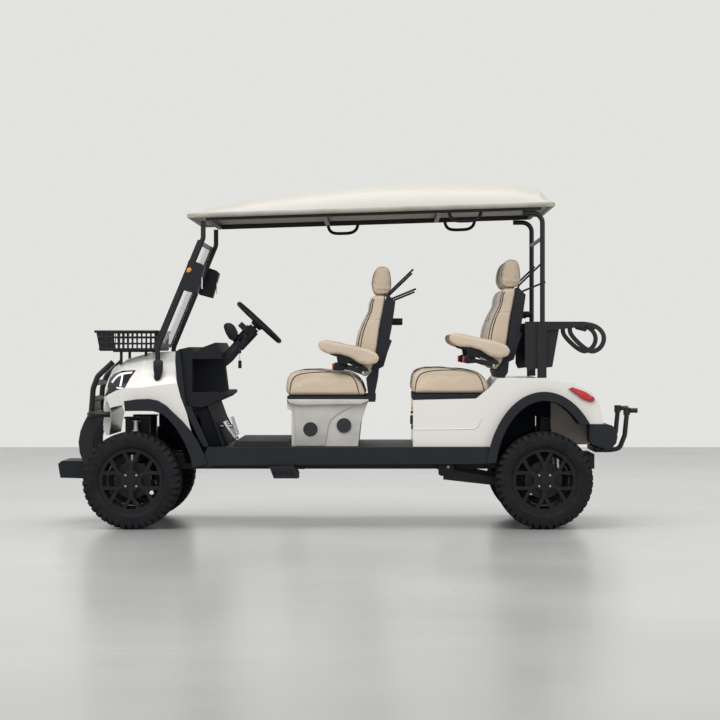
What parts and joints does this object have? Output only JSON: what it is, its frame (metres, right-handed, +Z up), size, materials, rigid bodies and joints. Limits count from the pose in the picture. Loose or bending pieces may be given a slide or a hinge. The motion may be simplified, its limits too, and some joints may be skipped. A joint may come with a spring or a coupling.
{
  "type": "golf cart",
  "caption": "Lifted electric golf cart with two seat rows under a roof, a front basket, a rear bag rack and knobbly road wheels that steer and roll.",
  "frame": {"origin": "on the ground, at the middle of the cart's length and width", "axes": "+X towards the rear, +Y towards the cart's right side as its driver sits, +Z up"},
  "size_m": [3.56, 1.424, 2.1084],
  "materials": {
    "body_paint": "glossy pearl white moulded shell",
    "dark_trim": "grained charcoal moulding",
    "frame_steel": "satin black powder coat",
    "plated_steel": "zinc plate",
    "tyre_rubber": "all-terrain tread",
    "rim_black": "satin black coat",
    "mat_rubber": "ribbed",
    "upholstery": "smooth tan vinyl with dark piping",
    "arm_pad": "tan vinyl",
    "beige_plastic": "light grained moulding",
    "lamp_lens": "dark clear lens",
    "tail_lens": "clear red lens",
    "screen_glass": "clear, lightly tinted",
    "strap_web": "woven belt",
    "grip": "soft grip"
  },
  "bodies": {
    "vehicle": {"front_cowl": "body_paint", "rear_body": "body_paint", "roof_shell": "body_paint", "front_bumper": "body_paint", "cowl_trim": "dark_trim", "dashboard": "dark_trim", "rocker_panels": "dark_trim", "wheel_flares": "dark_trim", "wheel_liners": "dark_trim", "floor_pan": "dark_trim", "basket": "dark_trim", "steps": "dark_trim", "steering_column": "dark_trim", "mirrors": "dark_trim", "rear_bumper": "dark_trim", "seat_trays": "dark_trim", "seat_shells": "dark_trim", "speakers": "dark_trim", "battery": "dark_trim", "chassis_frame": "frame_steel", "brush_guard": "frame_steel", "suspension_arms": "frame_steel", "front_pillars": "frame_steel", "rear_struts": "frame_steel", "bag_rack": "frame_steel", "bag_rest": "frame_steel", "roof_frame": "frame_steel", "rear_axle": "frame_steel", "windscreen_frame": "frame_steel", "basket_mount": "frame_steel", "shock_absorbers": "plated_steel", "pedals": "plated_steel", "floor_mat": "mat_rubber", "seat_cushions": "upholstery", "seat_backs": "upholstery", "headrests": "upholstery", "roof_liner": "beige_plastic", "front_seat_base": "beige_plastic", "headlamps": "lamp_lens", "tail_lamps": "tail_lens", "windscreen": "screen_glass", "bag_straps": "strap_web", "roof_handles": "grip"},
    "knuckle_left": {"knuckle_left": "frame_steel"},
    "knuckle_right": {"knuckle_right": "frame_steel"},
    "tie_rod": {"tie_rod": "frame_steel"},
    "steering_wheel": {"steering_wheel": "grip"},
    "wheel_front_left": {"tyre_front_left": "tyre_rubber", "rim_front_left": "rim_black"},
    "armrest_front_left": {"armrest_front_left": "arm_pad"},
    "wheel_front_right": {"tyre_front_right": "tyre_rubber", "rim_front_right": "rim_black"},
    "armrest_front_right": {"armrest_front_right": "arm_pad"},
    "wheel_rear_left": {"tyre_rear_left": "tyre_rubber", "rim_rear_left": "rim_black"},
    "armrest_rear_left": {"armrest_rear_left": "arm_pad"},
    "wheel_rear_right": {"tyre_rear_right": "tyre_rubber", "rim_rear_right": "rim_black"},
    "armrest_rear_right": {"armrest_rear_right": "arm_pad"}
  },
  "joints": [
    {"name": "steer_left", "type": "hinge", "parent": "vehicle", "child": "knuckle_left", "pos_m": [-1.285, -0.49, 0.292], "axis": [0, 0, 1], "range_deg": [-28, 28]},
    {"name": "steer_right", "type": "hinge", "parent": "vehicle", "child": "knuckle_right", "pos_m": [-1.285, 0.49, 0.292], "axis": [0, 0, 1], "range_deg": [-28, 28]},
    {"name": "tie_rod_pivot", "type": "hinge", "parent": "knuckle_left", "child": "tie_rod", "pos_m": [-1.165, -0.49, 0.262], "axis": [0, 0, 1], "range_deg": [-28, 28]},
    {"name": "steering_wheel_turn", "type": "hinge", "parent": "vehicle", "child": "steering_wheel", "pos_m": [-0.535, -0.3, 1.242], "axis": [0.682, 0, 0.7314], "range_deg": [-420, 420]},
    {"name": "wheel_spin_front_left", "type": "hinge", "parent": "knuckle_left", "child": "wheel_front_left", "pos_m": [-1.285, -0.55, 0.292], "axis": [0, 1, 0], "continuous": true},
    {"name": "wheel_spin_front_right", "type": "hinge", "parent": "knuckle_right", "child": "wheel_front_right", "pos_m": [-1.285, 0.55, 0.292], "axis": [0, 1, 0], "continuous": true},
    {"name": "wheel_spin_rear_left", "type": "hinge", "parent": "vehicle", "child": "wheel_rear_left", "pos_m": [1.19, -0.55, 0.292], "axis": [0, 1, 0], "continuous": true},
    {"name": "wheel_spin_rear_right", "type": "hinge", "parent": "vehicle", "child": "wheel_rear_right", "pos_m": [1.19, 0.55, 0.292], "axis": [0, 1, 0], "continuous": true},
    {"name": "armrest_lift_front_left", "type": "hinge", "parent": "vehicle", "child": "armrest_front_left", "pos_m": [0.15085, -0.522, 1.02888], "axis": [0, 1, 0], "range_deg": [0, 85]},
    {"name": "armrest_lift_front_right", "type": "hinge", "parent": "vehicle", "child": "armrest_front_right", "pos_m": [0.15085, 0.522, 1.02888], "axis": [0, 1, 0], "range_deg": [0, 85]},
    {"name": "armrest_lift_rear_left", "type": "hinge", "parent": "vehicle", "child": "armrest_rear_left", "pos_m": [0.93785, -0.522, 1.0716], "axis": [0, 1, 0], "range_deg": [0, 85]},
    {"name": "armrest_lift_rear_right", "type": "hinge", "parent": "vehicle", "child": "armrest_rear_right", "pos_m": [0.93785, 0.522, 1.0716], "axis": [0, 1, 0], "range_deg": [0, 85]}
  ],
  "couplings": [
    {"joint": "steer_right", "follows": "steer_left", "ratio": 1},
    {"joint": "tie_rod_pivot", "follows": "steer_left", "ratio": -1},
    {"joint": "steering_wheel_turn", "follows": "steer_left", "ratio": 15}
  ]
}
